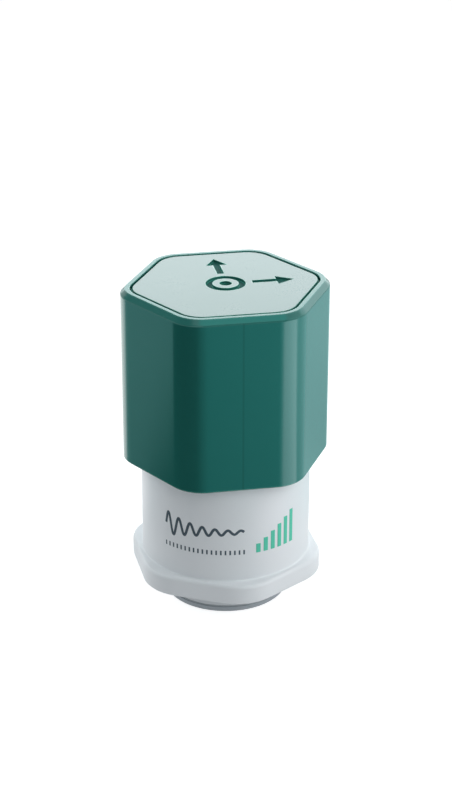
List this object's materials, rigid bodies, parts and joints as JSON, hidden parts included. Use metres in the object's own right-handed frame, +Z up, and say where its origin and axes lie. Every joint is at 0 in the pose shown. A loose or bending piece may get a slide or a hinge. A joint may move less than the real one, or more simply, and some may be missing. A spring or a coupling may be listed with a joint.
{
  "type": "condition monitoring sensor",
  "caption": "Wireless machine vibration and temperature sensor: hexagonal radome cap on a round housing with a spanner collar and a threaded mounting base.",
  "frame": {"origin": "centre of the base's underside, on the axis of the stud hole", "axes": "+Z up the axis from the base to the lid, a flat of the hexagonal cap faces -Y"},
  "size_m": [0.0548, 0.0518, 0.088],
  "materials": {
    "teal_cap": "satin moulded plastic",
    "teal_lid": "satin moulded plastic",
    "white_housing": "fine satin moulded plastic",
    "base_steel": "turned stainless steel",
    "plated_steel": "zinc plated",
    "rubber": "matte",
    "adhesive": "adhesive foam sheet",
    "circuit_board": "solder resist over glass fibre laminate",
    "chip_epoxy": "moulded epoxy",
    "connector_nylon": "moulded nylon",
    "carrier_nylon": "moulded glass filled nylon",
    "cable_film": "polyimide film",
    "cell_wrap": "shrink sleeve",
    "contact_brass": "plated spring sheet",
    "foam": "closed cell foam",
    "shield_tin": "tin plated sheet",
    "capacitor_body": "moulded epoxy",
    "tube_glass": "clear",
    "led_lens": "diffused"
  },
  "bodies": {
    "root": {"cap": "teal_cap", "lid_plate": "teal_lid", "lid_tape": "adhesive", "cap_seal": "rubber", "housing": "white_housing", "mounting_base": "base_steel", "base_gasket": "rubber", "base_washer": "plated_steel", "base_nut": "plated_steel", "sensor_board": "circuit_board", "sensor_screws": "plated_steel", "accelerometer": "chip_epoxy", "signal_chip": "chip_epoxy", "sensor_connector": "connector_nylon", "temperature_probe": "chip_epoxy", "flat_cable": "cable_film", "battery_cradle": "carrier_nylon", "cradle_screws": "plated_steel", "battery": "cell_wrap", "negative_contact": "contact_brass", "positive_contact": "contact_brass", "battery_pad": "foam", "board_tray": "carrier_nylon", "tray_screws": "plated_steel", "radio_board": "circuit_board", "board_screws": "plated_steel", "radio_module": "shield_tin", "antenna": "contact_brass", "processor_chip": "chip_epoxy", "memory_chip": "chip_epoxy", "clock_crystal": "shield_tin", "buffer_capacitor": "capacitor_body", "reed_switch": "tube_glass", "status_led": "led_lens", "board_connector": "connector_nylon"}
  },
  "joints": []
}
